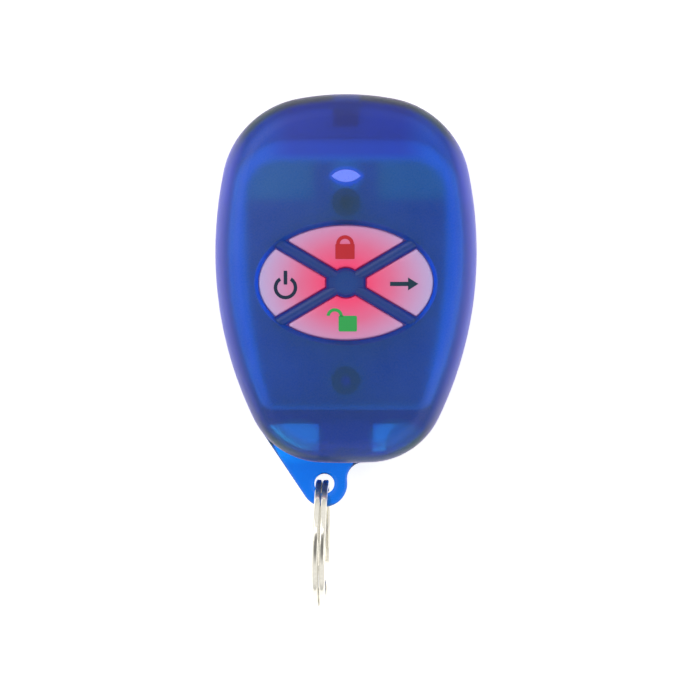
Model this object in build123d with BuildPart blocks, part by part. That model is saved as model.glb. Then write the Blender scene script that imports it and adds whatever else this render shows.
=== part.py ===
"""Alarm key fob: a translucent two-part case with four rubber keys in an oval, a coin cell and a split ring.

Millimetres. The fob lies on its back: +Z is out of its front face, +Y is towards its rounded end,
and the origin is on the rest face, under the middle of the four keys.
"""

import os
from math import acos, atan2, cos, radians, sin, sqrt

from build123d import *

# Body outline, seen from the front
body_width = 40.86
widest_line = 4.77  # height of the widest line above the middle of the keys
reach_above = 24.80  # from the widest line to the rounded end
reach_below = 32.90  # from the widest line to the key-ring end
upper_flank_radius = 63.5
lower_flank_radius = 59.3
top_turn = 11.0  # degrees that each arc turns, counted from the centreline
shoulder_turn = 78.5
haunch_turn = 64.0
bottom_turn = 3.0

# Case section
wall = 1.8
split_height = 8.2
front_height = 6.8
crown_radius = 200.0
front_round = 4.2
rear_round = 4.5
seam_chamfer = 0.2
lip_wall = 0.6
lip_height = 1.2
lip_root = 1.4
lip_clearance = 0.08

# Pocket walls round the board, in both halves
pocket_top = 22.3
pocket_bottom = -19.7
pocket_top_round = 8.0
pocket_bottom_round = 2.3
pocket_wall = 1.0
pocket_wall_end = 12.0  # the rear half's pocket wall stops here and leaves its rounded end open
cross_wall = 1.1

# Solid ends of the front half, beyond the pocket, and the two cores beside the latch that thin them
rim_gap = 0.2  # from the seam up to them
core_inset = 2.1
core_depth = 4.4
core_right = 8.2
core_curve_radius = 5.5
core_curve_drop = 4.4

# Oval of keys and the web between them
cluster_length = 27.4
cluster_height = 18.1
bevel_width = 0.85
rib_angle = 30.5
rib_width = 1.75
rib_crown = 0.5
rib_root = 1.0
web_depth = 2.4
web_recess = 0.9  # from the top of the crown down to the web
hub_diameter = 4.6
hub_length = 6.1
hub_waist = 2.4
hub_bevel = 0.45
key_gap = 0.18
key_proud = 0.15
key_corner_round = 0.25
key_edge_round = 0.3
key_travel = 0.8
flange_spread = 0.95
flange_thickness = 1.9

# Rubber dome under each key
mat_thickness = 1.2
mat_margin = 0.4
mat_end = 13.0
mat_tongue_width = 10.0
dome_radius = 3.0
dome_wall = 0.3
plunger_radius = 2.1
plunger_clearance = 0.05
skirt_clearance = 0.3
pill_radius = 1.9
pill_thickness = 0.4
pressed_gap = 0.03
side_key_centre = 9.2
end_key_centre = 5.8
light_well_radius = 1.7

# Board and what it carries
board_thickness = 1.0
board_top = 19.3
board_bottom = -19.3
board_end_margin = 5.13  # from the case's greatest width to the board's end, on each side
board_waist_margin = 4.93
board_foot_margin = 8.33
board_top_round = 5.5
board_bottom_round = 1.5
pad_thickness = 0.05
pad_split = 0.4
status_led_size = (1.6, 0.8, 0.6)
backlight_led_size = (2.0, 1.6, 0.8)

# Coin cell and its contacts
cell_diameter = 20.0
cell_thickness = 3.2
cell_cap_margin = 1.2
cell_seal_width = 0.45
cell_seal_depth = 0.25
cell_edge = 0.35
cell_clearance = 0.15
strap_clearance = 0.4
strap_width = 6.0
strap_thickness = 0.3
strap_foot = 1.6
contact_gap = 0.6
contact_sheet = 0.2
contact_width = 4.5
contact_span = 11.0
contact_touch = 3.0
contact_foot = 2.0

# Screw, locating pin and snaps
screw_place = 12.5
pin_place = -15.2
boss_diameter = 4.5
screw_diameter = 2.0
screw_length = 10.0
screw_head_diameter = 3.2
screw_head_height = 1.2
screw_head_recess = 0.3
screw_head_bevel = 0.25
screw_clearance = 0.15
pilot_clearance = 0.03
screw_slot_length = 2.0
screw_slot_width = 0.5
screw_slot_depth = 0.7
pin_diameter = 1.5
pin_length = 2.4
pin_clearance = 0.06
boss_clearance = 0.3
hook_width = 4.0
hook_depth = 1.2
hook_drop = 2.0
hook_nose = 0.5
hook_nose_height = 0.9
hook_clearance = 0.15
hook_stop_depth = 2.1
latch_length = 3.4
latch_width = 3.7
latch_place = -23.3
latch_height = 1.8
latch_clearance = 0.3
latch_block_width = 8.4

# Status window in the front face
window_place = 16.6
window_length = 4.5
window_width = 1.9
window_proud = 0.08
window_clearance = 0.05
window_flange = 0.5
window_flange_thickness = 0.6
window_led_gap = 0.3

# Key-ring lug of the rear half
lug_thickness = 2.0
lug_hole_across = -3.39
lug_drop = 3.31  # from the body's end to the hole's middle
lug_end_radius = 3.6
lug_hole_diameter = 3.1
lug_hole_round = 0.7
lug_edge_round = 0.45
lug_fillet = 2.6
shelf_line = -21.9

# Split ring of flat wire
ring_diameter = 20.0
wire_width = 0.95
wire_depth = 1.25
wire_round = 0.3
turn_gap = 0.08
ring_floor_gap = 0.2
ring_hang = 0.115  # from the hole's middle to the middle of the wire
ring_side_step = 0.25
ring_yaw = 1.4
ring_lean = 2.0
crossing_angle = -128.0
crossing_spread = 34.0
crossing_sections = 7

# Parts under the board; a place is in shares of the board's half width and of its reach from the middle
chip_size = (8.65, 3.9, 1.45)
chip_place_shares = (-0.53, 0.715)
chip_standoff = 0.1
chip_bevel = 0.1
lead_pitch = 1.27
lead_count = 6
lead_width = 0.42
lead_sheet = 0.2
lead_reach = 1.05
lead_foot = 0.5
resonator_size = (5.0, 3.5, 1.4)
resonator_lid = 0.25
resonator_lid_margin = 0.35
resonator_place_shares = (0.477, 0.808)
transistor_size = (2.9, 1.3, 1.0)
transistor_place_shares = (0.735, 0.549)
trimmer_size = (4.5, 3.2, 1.4)
trimmer_rotor_radius = 1.3
trimmer_place_shares = (0.516, -0.808)
end_cap_proud = 0.025
end_cap_share = 0.22
capacitor_size = (1.6, 0.8, 0.7)
capacitor_place_shares = (
    (0.206, 0.87),
    (0.748, 0.746),
    (0.335, 0.591),
    (-0.323, -0.777),
    (-0.529, -0.777),
    (0.258, -0.912),
)
resistor_size = (1.6, 0.8, 0.45)
resistor_place_shares = (
    (-0.103, 0.87),
    (-0.71, 0.446),
    (0.542, 0.642),
    (-0.323, -0.902),
    (-0.529, -0.902),
)
antenna_width = 0.9
antenna_edge = 0.5
antenna_thickness = 0.05
antenna_end = 6.0

# Heights and places that follow from the sizes above
half_width = body_width / 2
top_end = widest_line + reach_above
bottom_end = widest_line - reach_below
total_height = split_height + front_height
pocket_inset = wall + lip_clearance + lip_wall
web_top = total_height - web_recess
key_top = web_top + key_proud
strap_height = wall + strap_clearance
cell_height = strap_height + strap_thickness
board_height = cell_height + cell_thickness + contact_gap
board_face = board_height + board_thickness
mat_face = board_face + mat_thickness
skirt_height = mat_face + key_travel + skirt_clearance
pill_height = board_face + pad_thickness + key_travel + pressed_gap
plunger_height = pill_height + pill_thickness
cell_place = (screw_place + pin_place) / 2
screw_seat = screw_head_recess + screw_head_height
lug_hole = (lug_hole_across, bottom_end - lug_drop)
board_end_side = half_width - board_end_margin
board_waist_side = half_width - board_waist_margin
board_foot_side = half_width - board_foot_margin
key_centres = {
    "lock_key": (0, end_key_centre),
    "unlock_key": (0, -end_key_centre),
    "power_key": (-side_key_centre, 0),
    "arrow_key": (side_key_centre, 0),
}

os.makedirs("parts", exist_ok=True)


def closing_radii(reach, flank_radius, end_turn, corner_turn):
    """Radii of the end arc and the corner arc that join the centreline to the widest point."""
    end, corner = radians(end_turn), radians(corner_turn)
    across = half_width - flank_radius * (1 - sin(corner))
    along = reach - flank_radius * cos(corner)
    side, rise = sin(corner) - sin(end), cos(end) - cos(corner)
    measure = sin(end) * rise - side * (1 - cos(end))
    end_radius = (across * rise - along * side) / measure
    corner_radius = (along * sin(end) - across * (1 - cos(end))) / measure
    return end_radius, corner_radius


top_radius, shoulder_radius = closing_radii(reach_above, upper_flank_radius, top_turn, shoulder_turn)
bottom_radius, haunch_radius = closing_radii(reach_below, lower_flank_radius, bottom_turn, haunch_turn)


outline_arcs = (
    (top_radius, top_turn),
    (shoulder_radius, shoulder_turn - top_turn),
    (upper_flank_radius, 90 - shoulder_turn),
    (lower_flank_radius, 90 - haunch_turn),
    (haunch_radius, haunch_turn - bottom_turn),
    (bottom_radius, bottom_turn),
)


def body_outline(inset=0.0, mode=Mode.ADD):
    """Adds or cuts the body's outline, moved in by inset: six tangent arcs a side."""
    start, heading = Vector(0, top_end - inset), Vector(1, 0)
    with BuildLine() as outline:
        for radius, turn in outline_arcs:
            arc = JernArc(start, heading, radius - inset, -turn)
            start, heading = arc @ 1, arc % 1
        mirror(about=Plane.YZ)
    make_face(outline.edges(), mode=mode)


def front_form(inset):
    """Solid inside the front half's outer surface, moved in by inset."""
    with BuildPart() as form:
        with BuildSketch(Plane.XY.offset(split_height)):
            body_outline(inset)
        extrude(amount=front_height)
        with Locations((0, 0, total_height - crown_radius)):
            Sphere(crown_radius - inset, mode=Mode.INTERSECT)
        fillet(form.faces().sort_by(Axis.Z)[-1].edges(), front_round - inset)
    return form.part


def rear_form(inset):
    """Solid inside the rear half's outer surface, moved in by inset."""
    with BuildPart() as form:
        with BuildSketch(Plane.XY.offset(inset)):
            body_outline(inset)
        extrude(amount=split_height - inset)
        fillet(form.faces().sort_by(Axis.Z)[0].edges(), rear_round - inset)
    return form.part


def off_centre(vertex):
    """Whether a vertex is away from the fob's centreline."""
    return abs(vertex.X) > wall


def pocket_block(grow, low, high):
    """Solid of the pocket round the board, moved out by grow, between two heights."""
    with BuildPart() as pocket:
        with BuildSketch(Plane.XY.offset(low)):
            body_outline(pocket_inset - grow)
            with Locations((0, (pocket_top + pocket_bottom) / 2)):
                Rectangle(body_width, pocket_top - pocket_bottom + 2 * grow, mode=Mode.INTERSECT)
        extrude(amount=high - low)
        fillet(pocket.edges().filter_by(Axis.Z).group_by(Axis.Y)[-1], pocket_top_round + grow)
        fillet(pocket.edges().filter_by(Axis.Z).group_by(Axis.Y)[0], pocket_bottom_round + grow)
    return pocket.part


def latch_cores():
    """The two thin places beside the latch, cut from the front's solid end and from the ear's shelf."""
    with BuildSketch() as cores:
        body_outline(core_inset)
        with Locations((0, shelf_line - core_depth / 2)):
            Rectangle(body_width, core_depth, mode=Mode.INTERSECT)
            Rectangle(latch_block_width, core_depth, mode=Mode.SUBTRACT)
            with Locations((core_right + half_width, 0)):
                Rectangle(body_width, core_depth, mode=Mode.SUBTRACT)
        with Locations((core_right + core_curve_radius * 0.6, shelf_line - core_curve_drop)):
            Circle(core_curve_radius, mode=Mode.SUBTRACT)
    return cores.sketch


def board_outline(inset, end=board_top):
    """Outline of the board, moved in by inset and cut off at the line end."""
    middle = (board_top + board_bottom) / 2
    with BuildSketch() as board:
        with BuildLine():
            foot = (board_foot_side, board_bottom)
            side = ThreePointArc((board_end_side, board_top), (board_waist_side, middle), foot)
            Line((0, board_top), side @ 0)
            Line((0, board_bottom), side @ 1)
            mirror(about=Plane.YZ)
        make_face()
        fillet(board.vertices().group_by(Axis.Y)[-1].filter_by(off_centre), board_top_round)
        fillet(board.vertices().group_by(Axis.Y)[0].filter_by(off_centre), board_bottom_round)
        if inset:
            offset(amount=-inset, mode=Mode.REPLACE)
        with Locations((0, end - body_width)):
            Rectangle(2 * body_width, 2 * body_width, mode=Mode.INTERSECT)
    return board.sketch


def key_field(gap):
    """The four key places between the ribs, each gap clear of the web and the rim."""
    with BuildSketch() as field:
        Ellipse(cluster_length / 2 - gap, cluster_height / 2 - gap)
        for tilt in (rib_angle, -rib_angle):
            Rectangle(2 * cluster_length, rib_width + 2 * gap, rotation=tilt, mode=Mode.SUBTRACT)
        Circle(hub_diameter / 2 + gap, mode=Mode.SUBTRACT)
        Rectangle(hub_length + 2 * gap, hub_waist + 2 * gap, mode=Mode.SUBTRACT)
    faces = field.faces()
    return {
        "lock_key": faces.sort_by(Axis.Y)[-1],
        "unlock_key": faces.sort_by(Axis.Y)[0],
        "power_key": faces.sort_by(Axis.X)[0],
        "arrow_key": faces.sort_by(Axis.X)[-1],
    }


def pointed_oval(length, width):
    """Adds an oval at the window's place, with a point at each end, made of two arcs."""
    left, right = (-length / 2, window_place), (length / 2, window_place)
    with BuildLine() as oval:
        ThreePointArc(left, (0, window_place + width / 2), right)
        ThreePointArc(right, (0, window_place - width / 2), left)
    make_face(oval.edges())


def crown_height(y):
    """Height of the front face over the centreline at y."""
    return total_height - crown_radius + sqrt(crown_radius**2 - y**2)


# Web between the keys: two rounded ribs that cross, and a flat-ended hub on their crossing
web_floor = web_top - web_depth
rib_side = rib_width / 2
rib_shoulder = web_depth - rib_crown
with BuildPart() as web_clip:
    with BuildSketch(Plane.XY.offset(web_floor)):
        Ellipse(cluster_length / 2 + rib_root, cluster_height / 2 + rib_root)
    extrude(amount=web_depth)

with BuildPart() as hub:
    with BuildSketch(Plane.XY.offset(web_floor)):
        Circle(hub_diameter / 2)
        Rectangle(hub_length, hub_waist)
    extrude(amount=web_depth)
    chamfer(hub.faces().sort_by(Axis.Z)[-1].edges(), hub_bevel)

with BuildPart() as key_web:
    for tilt in (radians(rib_angle), radians(-rib_angle)):
        across, along = (-sin(tilt), cos(tilt), 0), (cos(tilt), sin(tilt), 0)
        with BuildSketch(Plane(origin=(0, 0, web_floor), x_dir=across, z_dir=along)):
            with BuildLine():
                Polyline((-rib_side, rib_shoulder), (-rib_side, 0), (rib_side, 0), (rib_side, rib_shoulder))
                ThreePointArc((rib_side, rib_shoulder), (0, web_depth), (-rib_side, rib_shoulder))
            make_face()
        extrude(amount=cluster_length, both=True)
    add(web_clip.part, mode=Mode.INTERSECT)
    add(hub.part)

# Pocket wall, solid ends and bosses inside the front half
above_lip = split_height + lip_height + lip_clearance
hook_face = top_end - wall - lip_clearance
with BuildPart() as front_works:
    add(pocket_block(pocket_wall, above_lip, total_height))
    with BuildSketch(Plane.XY.offset(split_height + rim_gap)):
        body_outline(pocket_inset + lip_clearance)
        add(latch_cores(), mode=Mode.SUBTRACT)
    extrude(amount=front_height)
    with BuildSketch(Plane.XY.offset(above_lip)):
        body_outline()
        add(latch_cores(), mode=Mode.SUBTRACT)
    extrude(amount=front_height)
    with BuildSketch(Plane.XY.offset(split_height)):
        with Locations((0, latch_place)):
            Rectangle(latch_length + 2 * latch_clearance, latch_width + 2 * latch_clearance)
    extrude(amount=latch_height + latch_clearance, mode=Mode.SUBTRACT)
    add(pocket_block(0, split_height, total_height), mode=Mode.SUBTRACT)
    with BuildSketch(Plane.XY.offset(above_lip)):
        with Locations((0, hook_face)):
            Rectangle(hook_width, 2 * hook_depth)
    extrude(amount=front_height)
    with BuildSketch(Plane.XY.offset(board_face)):
        with Locations((0, screw_place), (0, pin_place)):
            Circle(boss_diameter / 2)
    extrude(amount=front_height)
    add(front_form(wall / 2), mode=Mode.INTERSECT)

# Snap hook on the front half's rounded end, which reaches past the seam
with BuildPart() as hook:
    hook_foot = split_height - hook_drop
    with BuildSketch(Plane.XY.offset(hook_foot)):
        with Locations((0, hook_face - hook_depth / 2)):
            Rectangle(hook_width, hook_depth)
    extrude(amount=above_lip - hook_foot + pocket_wall)
    with BuildSketch(Plane.XY.offset(hook_foot)):
        with Locations((0, hook_face)):
            Rectangle(hook_width, 2 * hook_nose)
    extrude(amount=hook_nose_height)

screw_tip = screw_seat + screw_length
pin_tip = board_face + pin_length
with BuildPart() as front_shell:
    add(front_form(0))
    add(front_form(wall), mode=Mode.SUBTRACT)
    chamfer(front_shell.faces().sort_by(Axis.Z)[0].outer_wire().edges(), seam_chamfer)
    add(front_works.part)
    add(hook.part)
    with BuildSketch(Plane.XY.offset(web_floor)):
        Ellipse(cluster_length / 2, cluster_height / 2)
    extrude(amount=front_height, mode=Mode.SUBTRACT)
    with BuildSketch(Plane.XY.offset(web_top - rib_crown)):
        Ellipse(cluster_length / 2, cluster_height / 2)
    with BuildSketch(Plane.XY.offset(total_height)):
        Ellipse(cluster_length / 2 + bevel_width, cluster_height / 2 + bevel_width)
    loft(mode=Mode.SUBTRACT)
    add(key_web.part)
    with BuildSketch(Plane.XY.offset(board_face)):
        with Locations((0, screw_place)):
            Circle(screw_diameter / 2 + pilot_clearance)
    extrude(amount=screw_tip + screw_clearance - board_face, mode=Mode.SUBTRACT)
    with BuildSketch(Plane.XY.offset(board_face)):
        with Locations((0, pin_place)):
            Circle(pin_diameter / 2 + pin_clearance)
    extrude(amount=pin_length + boss_clearance, mode=Mode.SUBTRACT)
    with BuildSketch(Plane.XY.offset(split_height)):
        pointed_oval(window_length + 2 * window_clearance, window_width + 2 * window_clearance)
    extrude(amount=front_height, mode=Mode.SUBTRACT)
front_shell.part.label = "front_shell"
export_step(front_shell.part, "parts/front_shell.step")

# Key-ring lug: a flat ear at the seam, tangent to the case's side, that runs on inside as a shelf
flank_middle = Vector(half_width - lower_flank_radius, widest_line)
haunch_heading = radians(180 - haunch_turn)
haunch_spoke = Vector(sin(haunch_heading), cos(haunch_heading))
haunch_middle = flank_middle + haunch_spoke * (lower_flank_radius - haunch_radius)
haunch_left = Vector(-haunch_middle.X, haunch_middle.Y)
hole = Vector(*lug_hole)
run = haunch_left - hole
edge_angle = atan2(run.Y, run.X) + acos((lug_end_radius - haunch_radius) / run.length)
edge_normal = Vector(cos(edge_angle), sin(edge_angle))
end_middle = Vector(0, bottom_end + bottom_radius)
to_hole = hole - end_middle
hole_reach, end_reach = lug_end_radius + lug_fillet, bottom_radius + lug_fillet
fillet_share = (end_reach**2 - hole_reach**2 + to_hole.length**2) / (2 * to_hole.length)
fillet_side = sqrt(end_reach**2 - fillet_share**2)
forward = to_hole.normalized()
fillet_middle = end_middle + forward * fillet_share + Vector(-forward.Y, forward.X) * fillet_side
ear_start = haunch_left + edge_normal * haunch_radius
ear_turn = hole + edge_normal * lug_end_radius
ear_end = hole + (fillet_middle - hole).normalized() * lug_end_radius
ear_root = end_middle + (fillet_middle - end_middle).normalized() * bottom_radius
ear_tip = hole + ((ear_turn + ear_end) / 2 - hole).normalized() * lug_end_radius
fillet_tip = fillet_middle + ((ear_end + ear_root) / 2 - fillet_middle).normalized() * lug_fillet
lug_floor = split_height - lug_thickness
with BuildPart() as lug:
    with BuildSketch(Plane.XY.offset(lug_floor)):
        with BuildLine():
            Line(ear_start, ear_turn)
            ThreePointArc(ear_turn, ear_tip, ear_end)
            ThreePointArc(ear_end, fillet_tip, ear_root)
            Polyline(ear_root, (latch_block_width / 2, shelf_line), (ear_start.X + wall, shelf_line), ear_start)
        make_face()
        with Locations(lug_hole):
            Circle(lug_hole_diameter / 2, mode=Mode.SUBTRACT)
    extrude(amount=lug_thickness)
    bores = lug.edges().filter_by(GeomType.CIRCLE).filter_by(lambda edge: edge.is_closed)
    fillet(bores, lug_hole_round)
    rims = lug.faces().filter_by(Axis.Z).sort_by(Axis.Z)
    fillet(rims[-1].outer_wire().edges() + rims[0].outer_wire().edges(), lug_edge_round)
    with BuildSketch(Plane.XY.offset(lug_floor)):
        add(latch_cores())
    extrude(amount=lug_thickness, mode=Mode.SUBTRACT)

# Walls and posts that stand inside the rear half
works_floor = wall / 2
with BuildPart() as rear_works:
    add(pocket_block(pocket_wall, works_floor, split_height))
    add(pocket_block(0, works_floor, split_height), mode=Mode.SUBTRACT)
    with BuildSketch(Plane.XY.offset(works_floor)):
        with Locations((0, pocket_wall_end + half_width)):
            Rectangle(body_width, body_width)
    extrude(amount=split_height, mode=Mode.SUBTRACT)
    with BuildSketch(Plane.XY.offset(works_floor)):
        with Locations((0, shelf_line + cross_wall / 2)):
            Rectangle(body_width, cross_wall)
    extrude(amount=split_height - works_floor)
    with BuildSketch(Plane.XY.offset(split_height - lip_root)):
        body_outline(works_floor)
        body_outline(pocket_inset, mode=Mode.SUBTRACT)
    extrude(amount=lip_root)
    with BuildSketch(Plane.XY.offset(works_floor)):
        with Locations((0, screw_place), (0, pin_place)):
            Circle(boss_diameter / 2)
    extrude(amount=board_height - works_floor)
    with BuildSketch(Plane.XY.offset(works_floor)):
        with Locations((0, hook_face - hook_depth - hook_clearance - hook_stop_depth / 2)):
            Rectangle(hook_width, hook_stop_depth)
    extrude(amount=split_height - works_floor)
    add(rear_form(works_floor), mode=Mode.INTERSECT)

# Lip that stands up inside the front half, with a notch and a catch for the hook
with BuildPart() as lip:
    with BuildSketch(Plane.XY.offset(split_height)):
        body_outline(wall + lip_clearance)
        body_outline(pocket_inset, mode=Mode.SUBTRACT)
    extrude(amount=lip_height)

hook_top = hook_foot + hook_nose_height
with BuildPart() as rear_shell:
    add(rear_form(0))
    add(rear_form(wall), mode=Mode.SUBTRACT)
    chamfer(rear_shell.faces().sort_by(Axis.Z)[-1].outer_wire().edges(), seam_chamfer)
    add(rear_works.part)
    add(lip.part)
    with BuildSketch(Plane.XY.offset(split_height - lip_root - hook_nose)):
        with Locations((0, hook_face)):
            Rectangle(hook_width + 2 * hook_clearance, 2 * (hook_depth + hook_clearance))
    extrude(amount=front_height, mode=Mode.SUBTRACT)
    with BuildSketch(Plane.XY.offset(hook_foot - hook_clearance)):
        with Locations((0, hook_face)):
            Rectangle(hook_width + 2 * hook_clearance, 2 * (hook_nose + hook_clearance))
    extrude(amount=hook_nose_height + 2 * hook_clearance, mode=Mode.SUBTRACT)
    add(lug.part)
    with BuildSketch(Plane.XY.offset(works_floor)):
        with Locations((0, latch_place)):
            Rectangle(latch_length, latch_width)
    extrude(amount=split_height + latch_height - works_floor)
    with BuildSketch(Plane.XY.offset(board_height - boss_clearance)):
        with Locations((0, pin_place)):
            Circle(pin_diameter / 2)
    extrude(amount=pin_tip - board_height + boss_clearance)
    with BuildSketch():
        with Locations((0, screw_place)):
            Circle(screw_diameter / 2 + screw_clearance)
    extrude(amount=board_height, mode=Mode.SUBTRACT)
    with BuildSketch():
        with Locations((0, screw_place)):
            Circle(screw_head_diameter / 2 + screw_clearance)
    extrude(amount=screw_seat, mode=Mode.SUBTRACT)
rear_shell.part.label = "rear_shell"
export_step(rear_shell.part, "parts/rear_shell.step")

# Status window: a clear light pipe, pointed at both ends, pushed in from behind
pipe_foot = board_face + status_led_size[2] + window_led_gap
flange_top = crown_height(window_place + window_width / 2 + window_flange) - wall - window_clearance
with BuildPart() as status_window:
    with BuildSketch(Plane.XY.offset(pipe_foot)):
        pointed_oval(window_length, window_width)
    extrude(amount=crown_height(window_place) + window_proud - pipe_foot)
    with BuildSketch(Plane.XY.offset(flange_top - window_flange_thickness)):
        pointed_oval(window_length + 2 * window_flange, window_width + 2 * window_flange)
    extrude(amount=window_flange_thickness)
status_window.part.label = "status_window"
export_step(status_window.part, "parts/status_window.step")

# Circuit board
with BuildPart() as circuit_board:
    with BuildSketch(Plane.XY.offset(board_height)):
        add(board_outline(0))
        with Locations((0, screw_place)):
            Circle(screw_diameter / 2 + screw_clearance, mode=Mode.SUBTRACT)
        with Locations((0, pin_place)):
            Circle(pin_diameter / 2 + pin_clearance, mode=Mode.SUBTRACT)
    extrude(amount=board_thickness)
circuit_board.part.label = "circuit_board"
export_step(circuit_board.part, "parts/circuit_board.step")

# Rubber mat over the board, with a chamber under each key and a tongue round the window's foot
tongue_end = board_top - mat_margin
with BuildPart() as keypad_mat:
    with BuildSketch(Plane.XY.offset(board_face)):
        add(board_outline(mat_margin, mat_end))
        with Locations((0, tongue_end / 2)):
            Rectangle(mat_tongue_width, tongue_end)
        with Locations((0, window_place)):
            Circle(window_length / 2 + boss_clearance, mode=Mode.SUBTRACT)
        with Locations(*key_centres.values()):
            Circle(dome_radius, mode=Mode.SUBTRACT)
        with Locations((0, screw_place), (0, pin_place)):
            Circle(boss_diameter / 2 + boss_clearance, mode=Mode.SUBTRACT)
        Circle(light_well_radius, mode=Mode.SUBTRACT)
    extrude(amount=mat_thickness)
keypad_mat.part.label = "keypad_mat"
export_step(keypad_mat.part, "parts/keypad_mat.step")

# Keys: each a raised sector with a flange that keeps it in, a round plunger and a carbon pill
key_faces = key_field(key_gap)
flange_faces = key_field(key_gap - flange_spread)
dome_foot = dome_radius + dome_wall
dome_neck = plunger_radius + plunger_clearance
for name, centre in key_centres.items():
    with BuildPart() as key:
        with BuildSketch(Plane.XY.offset(skirt_height)):
            add(flange_faces[name])
        extrude(amount=flange_thickness)
        with BuildSketch(Plane.XY.offset(skirt_height)) as top_face:
            add(key_faces[name])
            fillet(top_face.vertices(), key_corner_round)
        extrude(amount=key_top - skirt_height)
        fillet(key.faces().sort_by(Axis.Z)[-1].edges(), key_edge_round)
        with BuildSketch(Plane.XY.offset(plunger_height)):
            with Locations(centre):
                Circle(plunger_radius)
        extrude(amount=skirt_height + flange_thickness - plunger_height)
    key.part.label = name
    export_step(key.part, f"parts/{name}.step")

    with BuildPart() as pill:
        with BuildSketch(Plane.XY.offset(pill_height)):
            with Locations(centre):
                Circle(pill_radius)
        extrude(amount=pill_thickness)
    pill.part.label = f"{name}_pill"
    export_step(pill.part, f"parts/{name}_pill.step")

    with BuildPart() as dome:
        with BuildSketch(Plane(origin=centre, x_dir=(1, 0, 0), z_dir=(0, -1, 0))):
            with BuildLine():
                Polyline(
                    (dome_radius, mat_face),
                    (dome_foot, mat_face),
                    (dome_neck + dome_wall, skirt_height),
                    (dome_neck, skirt_height),
                    close=True,
                )
            make_face()
        revolve(axis=Axis((*centre, 0), (0, 0, 1)))
    dome.part.label = f"{name}_dome"
    export_step(dome.part, f"parts/{name}_dome.step")

# Split contact pads under the pills
with BuildPart() as contact_pads:
    with BuildSketch(Plane.XY.offset(board_face)):
        with Locations(*key_centres.values()):
            Circle(pill_radius)
            Rectangle(pad_split, 2 * dome_radius, mode=Mode.SUBTRACT)
    extrude(amount=pad_thickness)
contact_pads.part.label = "contact_pads"
export_step(contact_pads.part, "parts/contact_pads.step")


def chip_body(size):
    """Adds a chip part on its workplane: a body between two end caps that stand a little proud of it."""
    length, width, height = size
    waist_width, waist_height = width - 2 * end_cap_proud, height - end_cap_proud
    Box(length * (1 - 2 * end_cap_share), waist_width, waist_height, align=on_floor)
    for side in (-1, 1):
        with Locations((side * length * (1 - end_cap_share) / 2, 0, 0)):
            Box(length * end_cap_share, width, height, align=on_floor)


# Light-emitting diodes on the board's face: one under the window, one under the hub
on_floor = (Align.CENTER, Align.CENTER, Align.MIN)
with BuildPart(Plane.XY.offset(board_face)) as status_led:
    with Locations((0, window_place)):
        chip_body(status_led_size)
status_led.part.label = "status_led"
export_step(status_led.part, "parts/status_led.step")

with BuildPart(Plane.XY.offset(board_face)) as backlight_led:
    chip_body(backlight_led_size)
backlight_led.part.label = "backlight_led"
export_step(backlight_led.part, "parts/backlight_led.step")

# Coin cell: a steel can, a ring groove for its seal, and a flat cap towards the board
cell_top = cell_height + cell_thickness
can_radius = cell_diameter / 2
cap_radius = can_radius - cell_cap_margin
with BuildPart() as coin_cell:
    with BuildSketch(Plane(origin=(0, cell_place, 0), x_dir=(1, 0, 0), z_dir=(0, -1, 0))):
        with BuildLine():
            Polyline(
                (0, cell_height),
                (can_radius - cell_edge, cell_height),
                (can_radius, cell_height + cell_edge),
                (can_radius, cell_top - cell_seal_depth - cell_edge),
                (can_radius - cell_edge, cell_top - cell_seal_depth),
                (cap_radius + cell_seal_width, cell_top - cell_seal_depth),
                (cap_radius + cell_seal_width, cell_top - 2 * cell_seal_depth),
                (cap_radius, cell_top - 2 * cell_seal_depth),
                (cap_radius, cell_top - cell_seal_depth),
                (cap_radius - cell_edge, cell_top),
                (0, cell_top),
                close=True,
            )
        make_face()
    revolve(axis=Axis((0, cell_place, 0), (0, 0, 1)))
coin_cell.part.label = "coin_cell"
export_step(coin_cell.part, "parts/coin_cell.step")

# Strap that holds the cell up to the board, bent from spring strip
strap_inner = cell_diameter / 2 + cell_clearance
strap_outer = strap_inner + strap_thickness
foot_end = strap_outer + strap_foot
with BuildPart() as battery_clip:
    with BuildSketch(Plane.XZ.offset(-cell_place)):
        with BuildLine():
            Polyline(
                (0, strap_height),
                (strap_outer, strap_height),
                (strap_outer, board_height - strap_thickness),
                (foot_end, board_height - strap_thickness),
                (foot_end, board_height),
                (strap_inner, board_height),
                (strap_inner, cell_height),
                (0, cell_height),
            )
            mirror(about=Plane.YZ)
        make_face()
    extrude(amount=strap_width / 2, both=True)
    bends = battery_clip.edges().filter_by(Axis.Y).group_by(Axis.Z)[0].sort_by(Axis.X)
    fillet((bends[0], bends[-1]), strap_thickness)
battery_clip.part.label = "battery_clip"
export_step(battery_clip.part, "parts/battery_clip.step")

# Leaf that presses on the cell's cap, soldered to the board at its two feet
with BuildPart() as battery_contact:
    with BuildSketch(Plane.XZ.offset(-cell_place)):
        with BuildLine():
            outer, knee, touch = contact_span / 2, contact_span / 2 - contact_foot, contact_touch / 2
            Polyline(
                (outer, board_height),
                (outer, board_height - contact_sheet),
                (knee, board_height - contact_sheet),
                (touch, cell_top),
                (-touch, cell_top),
                (-knee, board_height - contact_sheet),
                (-outer, board_height - contact_sheet),
                (-outer, board_height),
                (-knee, board_height),
                (-touch, cell_top + contact_sheet),
                (touch, cell_top + contact_sheet),
                (knee, board_height),
                close=True,
            )
        make_face()
    extrude(amount=contact_width / 2, both=True)
battery_contact.part.label = "battery_contact"
export_step(battery_contact.part, "parts/battery_contact.step")



def on_board(shares):
    """A place on the board, from shares of its half width and of its reach from the middle."""
    return (shares[0] * board_waist_side, shares[1] * board_top)


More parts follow.
